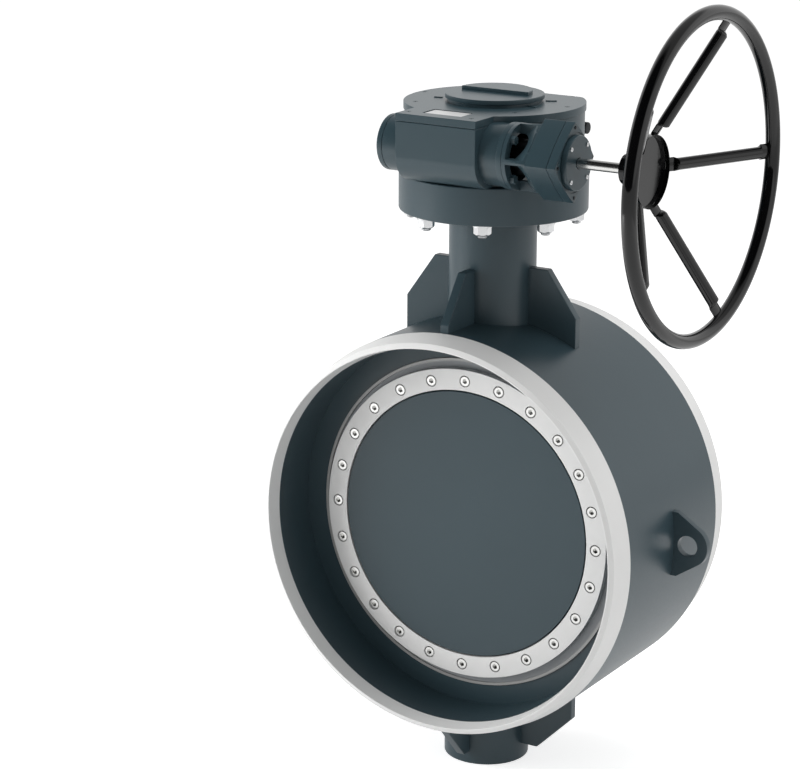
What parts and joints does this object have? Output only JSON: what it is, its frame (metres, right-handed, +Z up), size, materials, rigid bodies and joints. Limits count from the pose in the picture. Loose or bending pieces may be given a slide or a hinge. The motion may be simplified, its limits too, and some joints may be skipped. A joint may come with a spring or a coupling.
{
  "type": "butterfly valve",
  "caption": "Gear-operated butt-weld butterfly valve: a handwheel turns a planetary gearhead, worm and wheel, which swing an offset disc a quarter turn.",
  "frame": {"origin": "on the stem's axis at the height of the pipe's centre line, midway between the weld ends", "axes": "+Z up along the stem to the gearbox, Y along the pipe with -Y towards the seat side, +X towards the handwheel"},
  "size_m": [0.6447, 0.453, 1.0253],
  "materials": {
    "painted_steel": "satin blue-grey coating over steel, welded",
    "painted_iron": "satin blue-grey coating over cast iron",
    "stainless_steel": "turned stainless steel",
    "fastener_steel": "bright steel cap screws and nuts",
    "carbon_steel": "machined carbon steel",
    "bronze": "machined bronze",
    "graphite": "pressed graphite",
    "black_enamel": "gloss black enamel over steel tube"
  },
  "bodies": {
    "valve": {"body_shell": "painted_steel", "seat_ring": "stainless_steel", "upper_stem_bearing": "bronze", "lower_stem_bearing": "bronze", "thrust_ring": "bronze", "bottom_plug": "carbon_steel", "packing_ring_1": "graphite", "packing_ring_2": "graphite", "packing_ring_3": "graphite", "gland_nut": "stainless_steel", "mounting_flange": "painted_steel", "gear_housing": "painted_iron", "gear_cover": "painted_iron", "stop_screw": "carbon_steel", "worm_bearing_left": "carbon_steel", "worm_bearing_right": "carbon_steel", "worm_end_cap": "painted_iron", "lantern_bracket": "painted_iron", "gearhead_housing": "painted_iron", "gearhead_cover": "painted_iron", "bearing_cover": "painted_iron"},
    "disc_and_stem": {"stem": "stainless_steel", "disc": "painted_steel", "seal_ring": "stainless_steel", "retaining_ring": "stainless_steel", "retaining_screw_01": "fastener_steel", "retaining_screw_02": "fastener_steel", "retaining_screw_03": "fastener_steel", "retaining_screw_04": "fastener_steel", "retaining_screw_05": "fastener_steel", "retaining_screw_06": "fastener_steel", "retaining_screw_07": "fastener_steel", "retaining_screw_08": "fastener_steel", "retaining_screw_09": "fastener_steel", "retaining_screw_10": "fastener_steel", "retaining_screw_11": "fastener_steel", "retaining_screw_12": "fastener_steel", "retaining_screw_13": "fastener_steel", "retaining_screw_14": "fastener_steel", "retaining_screw_15": "fastener_steel", "retaining_screw_16": "fastener_steel", "retaining_screw_17": "fastener_steel", "retaining_screw_18": "fastener_steel", "retaining_screw_19": "fastener_steel", "retaining_screw_20": "fastener_steel", "retaining_screw_21": "fastener_steel", "retaining_screw_22": "fastener_steel", "retaining_screw_23": "fastener_steel", "retaining_screw_24": "fastener_steel", "disc_pin_upper": "stainless_steel", "disc_pin_lower": "stainless_steel", "worm_wheel": "bronze", "position_indicator": "painted_iron"},
    "worm_shaft": {"worm": "carbon_steel", "planet_carrier": "carbon_steel"},
    "planet_1": {"planet_gear_1": "carbon_steel"},
    "planet_2": {"planet_gear_2": "carbon_steel"},
    "planet_3": {"planet_gear_3": "carbon_steel"},
    "handwheel_and_shaft": {"handwheel": "black_enamel", "input_shaft": "stainless_steel"}
  },
  "joints": [
    {"name": "handwheel_turn", "type": "hinge", "parent": "valve", "child": "handwheel_and_shaft", "pos_m": [0.2, -0.098, 0.4885], "axis": [1, 0, 0], "range_deg": [0, 17280]},
    {"name": "stem_turn", "type": "hinge", "parent": "valve", "child": "disc_and_stem", "pos_m": [0, 0, 0], "axis": [0, 0, 1], "range_deg": [0, 90]},
    {"name": "worm_turn", "type": "hinge", "parent": "valve", "child": "worm_shaft", "pos_m": [0, -0.098, 0.4885], "axis": [1, 0, 0], "range_deg": [0, 4320]},
    {"name": "planet_1_turn", "type": "hinge", "parent": "worm_shaft", "child": "planet_1", "pos_m": [0.139, -0.098, 0.4705], "axis": [1, 0, 0], "range_deg": [-12960, 0]},
    {"name": "planet_2_turn", "type": "hinge", "parent": "worm_shaft", "child": "planet_2", "pos_m": [0.139, -0.08241, 0.4975], "axis": [1, 0, 0], "range_deg": [-12960, 0]},
    {"name": "planet_3_turn", "type": "hinge", "parent": "worm_shaft", "child": "planet_3", "pos_m": [0.139, -0.11359, 0.4975], "axis": [1, 0, 0], "range_deg": [-12960, 0]}
  ],
  "couplings": [
    {"joint": "stem_turn", "follows": "handwheel_turn", "ratio": 0.0052083},
    {"joint": "worm_turn", "follows": "handwheel_turn", "ratio": 0.25},
    {"joint": "planet_1_turn", "follows": "handwheel_turn", "ratio": -0.75},
    {"joint": "planet_2_turn", "follows": "handwheel_turn", "ratio": -0.75},
    {"joint": "planet_3_turn", "follows": "handwheel_turn", "ratio": -0.75}
  ]
}
